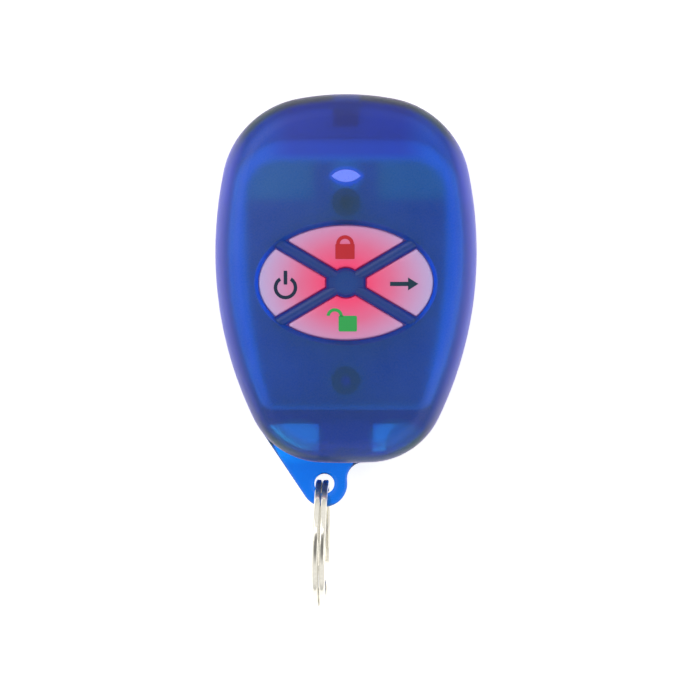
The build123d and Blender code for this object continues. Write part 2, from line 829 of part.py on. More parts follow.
# Controller chip under the board, and its leads
chip_length, chip_width, chip_height = chip_size
chip_place = on_board(chip_place_shares)
chip_top = board_height - chip_standoff
chip_middle = chip_top - chip_height / 2
with BuildPart() as controller_chip:
    with BuildSketch(Plane.XY.offset(chip_top - chip_height)):
        with Locations(chip_place):
            Rectangle(chip_length, chip_width)
    extrude(amount=chip_height)
    chamfer(controller_chip.faces().sort_by(Axis.Z)[0].edges(), chip_bevel)
controller_chip.part.label = "controller_chip"
export_step(controller_chip.part, "parts/controller_chip.step")

with BuildPart() as chip_leads:
    for index in range(lead_count):
        place = chip_place[0] + (index - (lead_count - 1) / 2) * lead_pitch
        for side in (-1, 1):
            root = side * chip_width / 2
            bend = side * (chip_width / 2 + lead_reach - lead_foot)
            toe = side * (chip_width / 2 + lead_reach)
            with BuildSketch(Plane(origin=(place, chip_place[1], 0), x_dir=(0, 1, 0), z_dir=(1, 0, 0))):
                with BuildLine():
                    Polyline(
                        (root, chip_middle),
                        (bend, chip_middle),
                        (bend, board_height - lead_sheet),
                        (toe, board_height - lead_sheet),
                        (toe, board_height),
                        (bend - side * lead_sheet, board_height),
                        (bend - side * lead_sheet, chip_middle + lead_sheet),
                        (root, chip_middle + lead_sheet),
                        close=True,
                    )
                make_face()
            extrude(amount=lead_width / 2, both=True)
chip_leads.part.label = "chip_leads"
export_step(chip_leads.part, "parts/chip_leads.step")

# Radio parts under the board
under_board = Plane(origin=(0, 0, board_height), x_dir=(1, 0, 0), z_dir=(0, 0, -1))


def below(shares):
    """A place on the underside of the board, where the workplane's Y runs the other way."""
    across, along = on_board(shares)
    return (across, -along)


can_length, can_width, can_height = resonator_size
with BuildPart(under_board) as saw_resonator:
    with Locations(below(resonator_place_shares)):
        Box(can_length, can_width, can_height - resonator_lid, align=on_floor)
    with BuildSketch(under_board.offset(can_height - resonator_lid)):
        with Locations(below(resonator_place_shares)):
            Rectangle(can_length - 2 * resonator_lid_margin, can_width - 2 * resonator_lid_margin)
    extrude(amount=resonator_lid)
saw_resonator.part.label = "saw_resonator"
export_step(saw_resonator.part, "parts/saw_resonator.step")

across, along = below(transistor_place_shares)
leg_pitch, leg_root = transistor_size[0] / 3, transistor_size[1] / 2
with BuildPart(under_board) as radio_transistor:
    with Locations((across, along)):
        Box(*transistor_size, align=on_floor)
    chamfer(radio_transistor.faces().sort_by(Axis.Z)[0].edges(), chip_bevel)
    with Locations((across, along - leg_root), (across - leg_pitch, along + leg_root)):
        Box(lead_width, lead_reach, lead_sheet, align=on_floor)
    with Locations((across + leg_pitch, along + leg_root)):
        Box(lead_width, lead_reach, lead_sheet, align=on_floor)
radio_transistor.part.label = "radio_transistor"
export_step(radio_transistor.part, "parts/radio_transistor.step")

with BuildPart(under_board) as tuning_capacitor:
    with Locations(below(trimmer_place_shares)):
        Box(trimmer_size[0], trimmer_size[1], trimmer_size[2] / 2, align=on_floor)
    with BuildSketch(under_board):
        with Locations(below(trimmer_place_shares)):
            Circle(trimmer_rotor_radius)
    extrude(amount=trimmer_size[2])
    with BuildSketch(under_board.offset(trimmer_size[2] - lead_sheet)):
        with Locations(below(trimmer_place_shares)):
            Rectangle(trimmer_rotor_radius, lead_width, rotation=rib_angle)
    extrude(amount=lead_sheet, mode=Mode.SUBTRACT)
tuning_capacitor.part.label = "tuning_capacitor"
export_step(tuning_capacitor.part, "parts/tuning_capacitor.step")

with BuildPart(under_board) as chip_capacitors:
    for shares in capacitor_place_shares:
        with Locations(below(shares)):
            chip_body(capacitor_size)
chip_capacitors.part.label = "chip_capacitors"
export_step(chip_capacitors.part, "parts/chip_capacitors.step")

with BuildPart(under_board) as chip_resistors:
    for shares in resistor_place_shares:
        with Locations(below(shares)):
            chip_body(resistor_size)
chip_resistors.part.label = "chip_resistors"
export_step(chip_resistors.part, "parts/chip_resistors.step")

# Aerial: a copper track along the board's rounded end
with BuildPart() as loop_antenna:
    with BuildSketch(Plane.XY.offset(board_height - antenna_thickness)):
        add(board_outline(antenna_edge))
        add(board_outline(antenna_edge + antenna_width), mode=Mode.SUBTRACT)
        with Locations((0, antenna_end + body_width)):
            Rectangle(2 * body_width, 2 * body_width, mode=Mode.INTERSECT)
    extrude(amount=antenna_thickness)
loop_antenna.part.label = "loop_antenna"
export_step(loop_antenna.part, "parts/loop_antenna.step")

# Case screw, put in from the back
with BuildPart() as case_screw:
    with BuildSketch(Plane.XY.offset(screw_head_recess)):
        with Locations((0, screw_place)):
            Circle(screw_head_diameter / 2)
    extrude(amount=screw_head_height)
    chamfer(case_screw.faces().sort_by(Axis.Z)[0].edges(), screw_head_bevel)
    with BuildSketch(Plane.XY.offset(screw_seat)):
        with Locations((0, screw_place)):
            Circle(screw_diameter / 2)
    extrude(amount=screw_length)
    chamfer(case_screw.faces().sort_by(Axis.Z)[-1].edges(), screw_diameter / 4)
    with BuildSketch(Plane.XY.offset(screw_head_recess)):
        with Locations((0, screw_place)):
            for turn in (0, 90):
                Rectangle(screw_slot_length, screw_slot_width, rotation=turn)
    extrude(amount=screw_slot_depth, mode=Mode.SUBTRACT)
case_screw.part.label = "case_screw"
export_step(case_screw.part, "parts/case_screw.step")

# Split ring: two turns of flat wire side by side, joined by one crossing
yaw, lean = radians(ring_yaw), radians(ring_lean)
ring_radius = ring_diameter / 2
wire_line = ring_radius - wire_depth / 2
turn_step = wire_width + turn_gap
outwards = Vector(-sin(yaw), -cos(yaw), 0)
sideways = Vector(-cos(yaw), sin(yaw), 0)
ring_rise = sideways * sin(lean) + Vector(0, 0, cos(lean))
ring_height = ring_floor_gap + ring_radius * cos(lean) + turn_step * sin(lean)
ring_middle = Vector(*lug_hole, ring_height)
ring_middle += outwards * (wire_line - ring_hang) + sideways * ring_side_step
ring_plane = Plane(origin=ring_middle, x_dir=-outwards, z_dir=(-outwards).cross(ring_rise))


def across_wire(angle, side):
    """Plane across the wire, at an angle round the ring and moved along the ring's axis."""
    turned = radians(angle)
    spoke = ring_plane.x_dir * cos(turned) + ring_plane.y_dir * sin(turned)
    heading = ring_plane.y_dir * cos(turned) - ring_plane.x_dir * sin(turned)
    spot = ring_plane.origin + spoke * wire_line + ring_plane.z_dir * side
    return Plane(origin=spot, x_dir=ring_plane.z_dir, z_dir=heading)


with BuildPart() as key_ring:
    for side in (-turn_step / 2, turn_step / 2):
        with BuildSketch(across_wire(crossing_angle + crossing_spread / 2, side)):
            RectangleRounded(wire_width, wire_depth, wire_round)
        revolve(axis=Axis(ring_plane.origin, ring_plane.z_dir), revolution_arc=360 - crossing_spread)
    for index in range(crossing_sections):
        share = index / (crossing_sections - 1)
        eased = share * share * (3 - 2 * share)
        angle = crossing_angle + crossing_spread * (1 / 2 - share)
        with BuildSketch(across_wire(angle, turn_step * (eased - 1 / 2))):
            RectangleRounded(wire_width, wire_depth, wire_round)
    loft()
key_ring.part.label = "key_ring"
export_step(key_ring.part, "parts/key_ring.step")
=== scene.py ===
"""Looks of the alarm key fob: frosted blue case, lit rubber keys, and the works that show through."""

from math import cos, radians, sin

import bmesh
import bpy
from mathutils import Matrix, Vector


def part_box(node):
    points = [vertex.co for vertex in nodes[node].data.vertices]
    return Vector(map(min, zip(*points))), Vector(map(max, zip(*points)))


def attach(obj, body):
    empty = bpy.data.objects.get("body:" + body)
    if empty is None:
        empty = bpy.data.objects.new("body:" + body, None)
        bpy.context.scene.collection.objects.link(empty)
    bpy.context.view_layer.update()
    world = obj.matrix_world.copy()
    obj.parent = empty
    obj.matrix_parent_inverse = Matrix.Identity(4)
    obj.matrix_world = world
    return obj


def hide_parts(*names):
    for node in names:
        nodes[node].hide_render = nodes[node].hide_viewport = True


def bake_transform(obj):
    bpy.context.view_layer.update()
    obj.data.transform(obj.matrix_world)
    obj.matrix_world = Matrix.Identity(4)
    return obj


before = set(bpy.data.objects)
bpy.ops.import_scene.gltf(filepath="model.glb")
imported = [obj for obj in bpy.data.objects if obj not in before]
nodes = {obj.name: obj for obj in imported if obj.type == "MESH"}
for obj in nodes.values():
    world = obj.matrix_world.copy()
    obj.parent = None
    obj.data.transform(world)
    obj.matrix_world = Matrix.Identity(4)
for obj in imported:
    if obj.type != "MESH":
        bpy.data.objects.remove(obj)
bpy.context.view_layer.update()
mm = 0.001

# Camera
# It looks straight down on the fob from three quarters of a metre. A long lens gives the frame of
# 109.4 mm, which is 6.4 pixels to the millimetre, with the hub left of the middle and above it.
view_width = 109.375 * mm
view_distance = 750 * mm
view_middle = Vector((0.625, -10.47, 10)) * mm
lens_data = bpy.data.cameras.new("camera")
lens_data.sensor_width = 36
lens_data.lens = lens_data.sensor_width * view_distance / view_width
camera = bpy.data.objects.new("camera", lens_data)
camera.location = view_middle + Vector((0, 0, view_distance))
bpy.context.scene.collection.objects.link(camera)
bpy.context.scene.camera = camera
bpy.context.scene.view_settings.view_transform = "Standard"


# Front half of the case
# Moulded in see-through blue with a fine matt grain, so that the board, the mat and the posts behind
# it show as soft shapes. Its tone changes with the place: painted shade over the solid end, painted
# light over the two thin places at the lower end and along the rim, and a painted glow on the ribs and the
# hub.
def finish(name, **values):
    """A new material whose Principled shader has these values, with _ for a space in a socket's name."""
    material = bpy.data.materials.new(name)
    material.use_nodes = True
    shader = material.node_tree.nodes["Principled BSDF"]
    for label, value in values.items():
        shader.inputs[label.replace("_", " ")].default_value = value
    return material, shader


def add_node(owner, kind, settings=(), **values):
    """A new node in a material or a node group, with its settings and its sockets' values."""
    tree = getattr(owner, "node_tree", owner)
    node = tree.nodes.new(kind)
    for label, value in dict(settings).items():
        setattr(node, label, value)
    for label, value in values.items():
        node.inputs[label.replace("_", " ")].default_value = value
    return node


def join(owner, start, end):
    """A link from one socket to another."""
    getattr(owner, "node_tree", owner).links.new(start, end)


def feed(owner, socket, source):
    """Gives a socket what another one puts out, or else a number or a colour."""
    if isinstance(source, bpy.types.NodeSocket):
        join(owner, source, socket)
    elif socket.type == "RGBA":
        socket.default_value = (*source, 1)
    else:
        socket.default_value = source


def reckoned(owner, operation, *sources):
    """A sum worked out from sockets and numbers."""
    node = add_node(owner, "ShaderNodeMath", {"operation": operation})
    for socket, source in zip(node.inputs, sources):
        feed(owner, socket, source)
    return node.outputs["Value"]


def faded(owner, source, start, end, kind="SMOOTHSTEP", **levels):
    """A mask that goes from 0 at the start to 1 at the end, or between other levels."""
    node = add_node(
        owner, "ShaderNodeMapRange", {"interpolation_type": kind}, From_Min=start, From_Max=end, **levels,
    )
    join(owner, source, node.inputs["Value"])
    return node.outputs["Result"]


def tinted(owner, mask, under, over):
    """One colour laid over another by a mask."""
    node = add_node(owner, "ShaderNodeMix", {"data_type": "RGBA"})
    for label, source in (("Factor", mask), ("A", under), ("B", over)):
        feed(owner, node.inputs[label], source)
    return node.outputs["Result"]


def place_axes(owner):
    """The x and the y of each place on the object."""
    place = add_node(owner, "ShaderNodeTexCoord")
    axes = add_node(owner, "ShaderNodeSeparateXYZ")
    join(owner, place.outputs["Object"], axes.inputs["Vector"])
    return axes.outputs["X"], axes.outputs["Y"]


def reach(owner, x, y, middle=(0, 0), shares=(1, 1)):
    """How far a place is from a middle, with a share of its own for each axis, so that rings are ovals."""
    place = add_node(owner, "ShaderNodeCombineXYZ")
    oval = add_node(owner, "ShaderNodeVectorMath", {"operation": "MULTIPLY_ADD"})
    length = add_node(owner, "ShaderNodeVectorMath", {"operation": "LENGTH"})
    join(owner, x, place.inputs["X"])
    join(owner, y, place.inputs["Y"])
    join(owner, place.outputs["Vector"], oval.inputs[0])
    oval.inputs[1].default_value = (*shares, 0)
    oval.inputs[2].default_value = (-middle[0] * shares[0], -middle[1] * shares[1], 0)
    join(owner, oval.outputs["Vector"], length.inputs[0])
    return length.outputs["Value"]


def dress(material, *names):
    """Gives CAD pieces a material."""
    for name in names:
        mesh = nodes[name].data
        mesh.materials.clear()
        mesh.materials.append(material)


def new_group(name, inputs, outputs):
    """A shader node group with number inputs and number outputs, and its two end nodes."""
    tree = bpy.data.node_groups.new(name, "ShaderNodeTree")
    for label, value in inputs.items():
        socket = tree.interface.new_socket(label, in_out="INPUT", socket_type="NodeSocketFloat")
        socket.default_value = value
    for label in outputs:
        tree.interface.new_socket(label, in_out="OUTPUT", socket_type="NodeSocketFloat")
    return tree, tree.nodes.new("NodeGroupInput"), tree.nodes.new("NodeGroupOutput")


# The grain is a fine noise. The haze adds a broad noise to it, for cloudiness, and keeps their middle.
haze_middle = 0.5
shell_grain, shell_cloud = 4200.0, 130.0
grain, grain_in, grain_out = new_group(
    "moulded_grain", {"Grain": shell_grain, "Cloud": shell_cloud}, ("Height", "Haze"),
)
grain_place = add_node(grain, "ShaderNodeTexCoord")
grain_fine = add_node(grain, "ShaderNodeTexNoise", Detail=3.0, Roughness=0.6)
grain_broad = add_node(grain, "ShaderNodeTexNoise", Detail=2.0)
grain_both = reckoned(grain, "ADD", grain_fine.outputs["Fac"], grain_broad.outputs["Fac"])
join(grain, grain_place.outputs["Object"], grain_fine.inputs["Vector"])
join(grain, grain_place.outputs["Object"], grain_broad.inputs["Vector"])
join(grain, grain_in.outputs["Grain"], grain_fine.inputs["Scale"])
join(grain, grain_in.outputs["Cloud"], grain_broad.inputs["Scale"])
join(grain, grain_fine.outputs["Fac"], grain_out.inputs["Height"])
join(grain, reckoned(grain, "SUBTRACT", grain_both, haze_middle), grain_out.inputs["Haze"])


def surfaced(material, shader, tone, marks, depth, strength, roughness):
    """Gives a shader its tone, and lets fine marks raise its surface and spread its gloss."""
    bump = add_node(material, "ShaderNodeBump", Strength=strength, Distance=depth)
    gloss = faded(material, marks, 0, 1, "LINEAR", To_Min=roughness[0], To_Max=roughness[1])
    join(material, marks, bump.inputs["Height"])
    join(material, tone, shader.inputs["Base Color"])
    join(material, bump.outputs["Normal"], shader.inputs["Normal"])
    join(material, gloss, shader.inputs["Roughness"])


def grained(material, shader, tones, depth, roughness, scale=shell_grain):
    """Adds the grain to a finish, with two tones mixed by its haze, and hands back the mixed tone."""
    group = add_node(material, "ShaderNodeGroup", {"node_tree": grain}, Grain=scale)
    tone = tinted(material, group.outputs["Haze"], *tones)
    surfaced(material, shader, tone, group.outputs["Height"], depth, 1.0, roughness)
    return tone


def absorbing(material, colour, density):
    """Fills a see-through finish with coloured glass-clear plastic."""
    body = add_node(material, "ShaderNodeVolumeAbsorption", Color=(*colour, 1), Density=density)
    join(material, body.outputs["Volume"], material.node_tree.nodes["Material Output"].inputs["Volume"])


plastic_density = 1000.0
front_plastic, front_shader = finish(
    "front_frosted_blue", Transmission_Weight=0.94, IOR=1.45, Sheen_Weight=1.0, Sheen_Roughness=0.23,
    Sheen_Tint=(0.85, 0.62, 1.0, 1), Specular_IOR_Level=0.2, Emission_Strength=0.2,
)
front_tone = grained(
    front_plastic, front_shader, ((0.03, 0.39, 0.90), (0.14, 0.58, 1.0)), 0.008 * mm, (0.34, 0.44),
)
absorbing(front_plastic, (0.25, 0.75, 0.885), plastic_density)
front_x, front_y = place_axes(front_plastic)
front_across = reckoned(front_plastic, "ABSOLUTE", front_x)

# Painted shade: the solid end beyond the pocket's top is painted a deeper blue, which fades out towards the
# case's two sides
deep_low, deep_high = 18.8 * mm, 20.4 * mm
deep_wide, deep_narrow = 13.5 * mm, 8.0 * mm
deep_end = faded(front_plastic, front_y, deep_low, deep_high)
deep_middle = faded(front_plastic, front_across, deep_wide, deep_narrow)
painted_shade_mask = reckoned(front_plastic, "MULTIPLY", deep_end, deep_middle)
front_tone = tinted(front_plastic, painted_shade_mask, front_tone, (0.13, 0.27, 0.74))

# Two cores beside the latch thin the lower end, and a lighter azure tone is painted over each of them as
# painted light coming through
core_middle, core_shares = (7.81 * mm, -23.79 * mm), (1.0, 1.63)
core_outer, core_inner = 4.69 * mm, 3.12 * mm
core_reach = reach(front_plastic, front_across, front_y, core_middle, core_shares)
window_painted_light_mask = faded(front_plastic, core_reach, core_outer, core_inner, "LINEAR")
front_tone = tinted(front_plastic, window_painted_light_mask, front_tone, (0.12, 0.76, 1.0))

# Painted light in the rim: a lavender tone painted along the two sides, on a line that bends with the
# outline, and a painted blue glow there and weakly round the lower end.
bloom_middle, bloom_bend = 4.77 * mm, 7.7
bloom_inner, bloom_outer = 17.6 * mm, 20.0 * mm
end_inner, end_outer, end_level = -24.0 * mm, -28.0 * mm, 0.16
bloom_along = reckoned(front_plastic, "SUBTRACT", front_y, bloom_middle)
bloom_square = reckoned(front_plastic, "MULTIPLY", bloom_along, bloom_along)
bloom_line = reckoned(front_plastic, "MULTIPLY_ADD", bloom_square, bloom_bend, front_across)
side_painted_light = faded(front_plastic, bloom_line, bloom_inner, bloom_outer)
end_painted_glow = faded(front_plastic, front_y, end_inner, end_outer, To_Max=end_level)
rim_painted_glow = reckoned(front_plastic, "MAXIMUM", side_painted_light, end_painted_glow)
front_tone = tinted(front_plastic, side_painted_light, front_tone, (0.66, 0.70, 1.0))
front_painted_glow = tinted(front_plastic, rim_painted_glow, (0, 0, 0), (0.25, 0.25, 1.0))

# The ribs and the hub between the keys are given a little painted blue glow
cross_outer, cross_inner, cross_shares = 9.4 * mm, 8.6 * mm, (0.66, 1.0)
cross_reach = reach(front_plastic, front_x, front_y, shares=cross_shares)
cross_painted_glow_mask = faded(front_plastic, cross_reach, cross_outer, cross_inner, "LINEAR")
front_painted_glow = tinted(front_plastic, cross_painted_glow_mask, front_painted_glow, (0, 0, 0.22))
join(front_plastic, front_tone, front_shader.inputs["Base Color"])
join(front_plastic, front_painted_glow, front_shader.inputs["Emission Color"])
dress(front_plastic, "front_shell")

# Rear half of the case
# The same see-through plastic in a clearer azure. It carries the flat ear for the key ring, which
# stands out from under the front half. The rest of the rear is painted a lighter azure than the ear, as
# painted light coming through the case, and the ear keeps a deeper tone of the same plastic. Its outside
# is smoother than the front's.
rear_plastic, rear_shader = finish(
    "rear_clear_azure", Transmission_Weight=0.92, IOR=1.45, Specular_IOR_Level=0.35,
)
rear_tone = grained(
    rear_plastic, rear_shader, ((0.004, 0.58, 1.0), (0.008, 0.64, 1.0)), 0.003 * mm, (0.16, 0.26),
)
absorbing(rear_plastic, (0.05, 0.47, 0.90), plastic_density)
# Painted light and shade: the ear is kept a deeper tone and the rest of the rear a lighter one
ear_start, ear_full = -26.5 * mm, -28.5 * mm
_, rear_y = place_axes(rear_plastic)
ear_painted_shade_mask = faded(rear_plastic, rear_y, ear_start, ear_full, "LINEAR")
rear_painted_light_and_shade_tone = tinted(rear_plastic, ear_painted_shade_mask, rear_tone, (0.001, 0.34, 0.74))
join(rear_plastic, rear_painted_light_and_shade_tone, rear_shader.inputs["Base Color"])
dress(rear_plastic, "rear_shell")

# Status window
# A polished light pipe with two pointed ends, pushed in from behind, which carries the light of the
# small lamp on the board to the face. Its blue glow at the face is painted into its own finish as emission.
window_plastic, window_shader = finish(
    "window_clear", Transmission_Weight=0.75, IOR=1.49, Emission_Strength=0.22,
    Emission_Color=(0.2, 0.3, 1.0, 1),
)
grained(window_plastic, window_shader, ((0.30, 0.38, 0.98), (0.38, 0.46, 1.0)), 0.001 * mm, (0.24, 0.34))
dress(window_plastic, "status_window")

# Keys
# Four sectors of milky silicone, lit from the hub by a red lamp on the board. That red light is painted
# into the rubber, as a pink tone and a painted glow near the hub that fade to lilac white at the outer rim.
key_names = ("lock_key", "unlock_key", "power_key", "arrow_key")
glow_near, glow_far, glow_shares = 2.6 * mm, 12.5 * mm, (0.86, 1.0)


def ramped(owner, source, stops):
    """A colour picked by a number from stops that start at 0 and end by 1."""
    node = add_node(owner, "ShaderNodeValToRGB")
    marks = node.color_ramp.elements
    for position, _ in stops[1:-1]:
        marks.new(position)
    for mark, (position, colour) in zip(marks, stops):
        mark.position = position
        mark.color = (*colour, 1)
    join(owner, source, node.inputs["Fac"])
    return node.outputs["Color"]


silicone, silicone_shader = finish(
    "milky_silicone", IOR=1.41, Subsurface_Weight=0.35, Subsurface_Scale=1.2 * mm, Emission_Strength=0.14,
    Subsurface_Radius=(1.0, 0.5, 0.6), Specular_IOR_Level=0.35,
)
key_x, key_y = place_axes(silicone)
key_reach = reach(silicone, key_x, key_y, shares=glow_shares)
key_fade = faded(silicone, key_reach, glow_near, glow_far, "LINEAR")
# Painted light: the lamp's red glow, in the keys' tone and in their emission
key_painted_glow_tone = ramped(silicone, key_fade, (
    (0.0, (0.72, 0.06, 0.16)), (0.35, (0.64, 0.15, 0.28)),
    (0.8, (0.50, 0.35, 0.58)), (1.0, (0.43, 0.42, 0.70)),
))
key_light = ramped(silicone, key_fade, (
    (0.0, (1.0, 0.03, 0.13)), (0.5, (0.45, 0.06, 0.18)), (1.0, (0.06, 0.04, 0.10)),
))
key_grain = add_node(silicone, "ShaderNodeGroup", {"node_tree": grain}, Grain=3000.0)
surfaced(silicone, silicone_shader, key_painted_glow_tone, key_grain.outputs["Height"], 0.008 * mm, 1.0, (0.42, 0.56))
join(silicone, key_light, silicone_shader.inputs["Emission Color"])
dress(silicone, *key_names)

# Springs and pills under the keys
# Each key stands on a thin rubber cone that folds as the key goes down, and carries a black carbon
# pill that closes the contact on the board.
weld_gap = 0.001 * mm
cone_rise = 0.5 * mm
cone_cuts = 3
mat_rubber, mat_shader = finish("mat_silicone", IOR=1.41, Transmission_Weight=0.15)
grained(mat_rubber, mat_shader, ((0.20, 0.20, 0.66), (0.25, 0.25, 0.76)), 0.006 * mm, (0.5, 0.62), 2600.0)
carbon, carbon_shader = finish("carbon_rubber")
grained(carbon, carbon_shader, ((0.012, 0.012, 0.013), (0.03, 0.03, 0.032)), 0.004 * mm, (0.6, 0.8), 6000.0)
for name in key_names:
    spring = bpy.data.objects.new(f"{name}_spring", nodes[f"{name}_dome"].data.copy())
    shape = bmesh.new()
    shape.from_mesh(spring.data)
    bmesh.ops.remove_doubles(shape, verts=shape.verts, dist=weld_gap)
    slanted = [edge for edge in shape.edges if abs(edge.verts[0].co.z - edge.verts[1].co.z) > cone_rise]
    bmesh.ops.subdivide_edges(shape, edges=slanted, cuts=cone_cuts)
    bmesh.ops.recalc_face_normals(shape, faces=shape.faces)
    shape.to_mesh(spring.data)
    shape.free()
    spring.data.materials.clear()
    spring.data.materials.append(mat_rubber)
    bpy.context.scene.collection.objects.link(spring)
    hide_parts(f"{name}_dome")
    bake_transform(spring)
    dress(carbon, f"{name}_pill")

# Printed signs on the keys
# One coat of ink on the top of each key: a shut padlock in red, an open one in green, and a power
# mark and an arrow in dark ink.
ink_depth = 0.015 * mm
ink_shade = 0.86
key_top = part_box("lock_key")[1].z


def arc(middle, radius, start, end, steps=20):
    """Points on an arc, from one angle in degrees to another, in millimetres."""
    turns = [radians(start + (end - start) * step / steps) for step in range(steps + 1)]
    return [(middle[0] + radius * cos(turn), middle[1] + radius * sin(turn)) for turn in turns]


def band(middle, radius, width, start, end):
    """Outline of a stroke that follows an arc."""
    outer, inner = radius + width / 2, radius - width / 2
    return arc(middle, outer, start, end) + arc(middle, inner, end, start)


def bar(left, low, right, high, corner=0.0):
    """Outline of a bar, with rounded corners if they have a radius."""
    if not corner:
        return [(left, low), (right, low), (right, high), (left, high)]
    middles = ((right - corner, low + corner, -90), (right - corner, high - corner, 0))
    middles += ((left + corner, high - corner, 90), (left + corner, low + corner, 180))
    return [point for x, y, start in middles for point in arc((x, y), corner, start, start + 90, steps=5)]


def printed(name, outlines, key, colour):
    """Makes one key's sign from closed outlines in millimetres, as a coat of ink on the key's top."""
    ink, shader = finish(f"{name}_ink", IOR=1.48, Specular_IOR_Level=0.3)
    dark = tuple(part * ink_shade for part in colour)
    grained(ink, shader, (dark, colour), 0.003 * mm, (0.45, 0.6), 5000.0)
    shape = bmesh.new()
    for outline in outlines:
        foot = [shape.verts.new((x * mm, y * mm, key_top - ink_depth)) for x, y in outline]
        side = shape.faces.new(foot)
        wall = bmesh.ops.extrude_face_region(shape, geom=[side])
        raised = [item for item in wall["geom"] if isinstance(item, bmesh.types.BMVert)]
        bmesh.ops.translate(shape, verts=raised, vec=(0, 0, 2 * ink_depth))
    bmesh.ops.recalc_face_normals(shape, faces=shape.faces)
    bmesh.ops.triangulate(shape, faces=[face for face in shape.faces if len(face.verts) > 4])
    mesh = bpy.data.meshes.new(name)
    shape.to_mesh(mesh)
    shape.free()
    mesh.materials.append(ink)
    sign = bpy.data.objects.new(name, mesh)
    bpy.context.scene.collection.objects.link(sign)
    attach(sign, key)


printed("lock_sign", (
    bar(-1.65, 3.66, 1.35, 6.0, 0.12),
    band((-0.15, 5.98), 1.1, 0.56, 0, 180),
), "lock_key", (0.50, 0.018, 0.028))
printed("unlock_sign", (
    bar(-1.15, -7.6, 1.7, -5.15, 0.2),
    band((-1.75, -5.25), 1.02, 0.5, 0, 175),
), "unlock_key", (0.03, 0.36, 0.08))
printed("power_sign", (
    band((-9.4, -0.77), 1.56, 0.54, 122, 418),
    bar(-9.68, -0.3, -9.12, 1.85, 0.1),
), "power_key", (0.006, 0.02, 0.05))
printed("arrow_sign", (
    bar(6.85, -0.53, 9.7, 0.12),
    [(9.65, -1.2), (11.25, -0.2), (9.65, 0.8)],
), "arrow_key", (0.006, 0.035, 0.06))

# Keypad mat
# The flat of the rubber keypad, which lies on the board and seals it. It shows as a darker field
# through the front.
dress(mat_rubber, "keypad_mat")

# Circuit board
# Green solder mask over glass laminate. Tracks show as slightly raised lighter lines under the mask,
# with round vias, and the contact fields and the aerial are bare gold and copper. A faint painted glow
# in the laminate stands in for light from below that shines through it.
board_mask, board_shader = finish(
    "solder_mask", IOR=1.5, Coat_Weight=0.35, Coat_Roughness=0.2, Emission_Color=(0.15, 0.75, 0.85, 1),
    Emission_Strength=0.12,
)
track_fold, track_inner, track_outer = 0.16, 0.05, 0.09
via_inner, via_outer = 0.13, 0.15
board_place = add_node(board_mask, "ShaderNodeTexCoord")
tracks = add_node(board_mask, "ShaderNodeTexVoronoi", {"distance": "MANHATTAN", "feature": "F1"}, Scale=620.0)
vias = add_node(board_mask, "ShaderNodeTexVoronoi", {"feature": "F1"}, Scale=340.0, Randomness=0.9)
join(board_mask, board_place.outputs["Object"], tracks.inputs["Vector"])
join(board_mask, board_place.outputs["Object"], vias.inputs["Vector"])
track_line = reckoned(board_mask, "PINGPONG", tracks.outputs["Distance"], track_fold)
track_edge = faded(board_mask, track_line, track_inner, track_outer)
via_edge = faded(board_mask, vias.outputs["Distance"], via_inner, via_outer, "LINEAR")
mask_tone = tinted(board_mask, track_edge, (0.04, 0.50, 0.46), (0.07, 0.62, 0.58))
board_tone = tinted(board_mask, via_edge, (0.62, 0.60, 0.52), mask_tone)
surfaced(board_mask, board_shader, board_tone, track_edge, 0.03 * mm, 0.6, (0.34, 0.24))
dress(board_mask, "circuit_board")

gold, gold_shader = finish("gold_plating", Metallic=1.0)
grained(gold, gold_shader, ((0.90, 0.62, 0.24), (1.0, 0.72, 0.32)), 0.002 * mm, (0.22, 0.36), 7000.0)
dress(gold, "contact_pads")
copper, copper_shader = finish("copper_track", Metallic=1.0)
grained(copper, copper_shader, ((0.80, 0.36, 0.18), (0.92, 0.46, 0.26)), 0.002 * mm, (0.28, 0.4), 7000.0)
dress(copper, "loop_antenna")

# Lamps on the board
# Two small white packages: a blue one under the window, and a red one in the mat's well under the
# hub, which lights the keys a little; most of their red is painted into their own finish.
for name, glow, power in (("status_led", (0.25, 0.35, 1.0), 0.15), ("backlight_led", (1.0, 0.08, 0.10), 0.1)):
    lamp, lamp_shader = finish(f"{name}_package", IOR=1.5, Emission_Color=(*glow, 1), Emission_Strength=power)
    grained(lamp, lamp_shader, ((0.84, 0.82, 0.74), (0.90, 0.88, 0.80)), 0.002 * mm, (0.3, 0.42), 6000.0)
    dress(lamp, name)

# Coin cell, clip and contact
# The cell is a nickel-plated can, drawn from sheet, whose faces show fine circles. The clip and the
# contact are tinned spring strip with brush lines along them.
brush_along, brush_across = 60.0, 9000.0
brushed, brushed_in, brushed_out = new_group(
    "brush_lines", {"Along": brush_along, "Across": brush_across}, ("Streak",),
)
brush_place = add_node(brushed, "ShaderNodeTexCoord")
brush_size = add_node(brushed, "ShaderNodeCombineXYZ")
brush_run = add_node(brushed, "ShaderNodeVectorMath", {"operation": "MULTIPLY"})
brush_noise = add_node(brushed, "ShaderNodeTexNoise", Scale=1.0, Detail=2.0)
join(brushed, brushed_in.outputs["Along"], brush_size.inputs["X"])
join(brushed, brushed_in.outputs["Across"], brush_size.inputs["Y"])
join(brushed, brushed_in.outputs["Across"], brush_size.inputs["Z"])
join(brushed, brush_place.outputs["Object"], brush_run.inputs[0])
join(brushed, brush_size.outputs["Vector"], brush_run.inputs[1])
join(brushed, brush_run.outputs["Vector"], brush_noise.inputs["Vector"])
join(brushed, brush_noise.outputs["Fac"], brushed_out.inputs["Streak"])


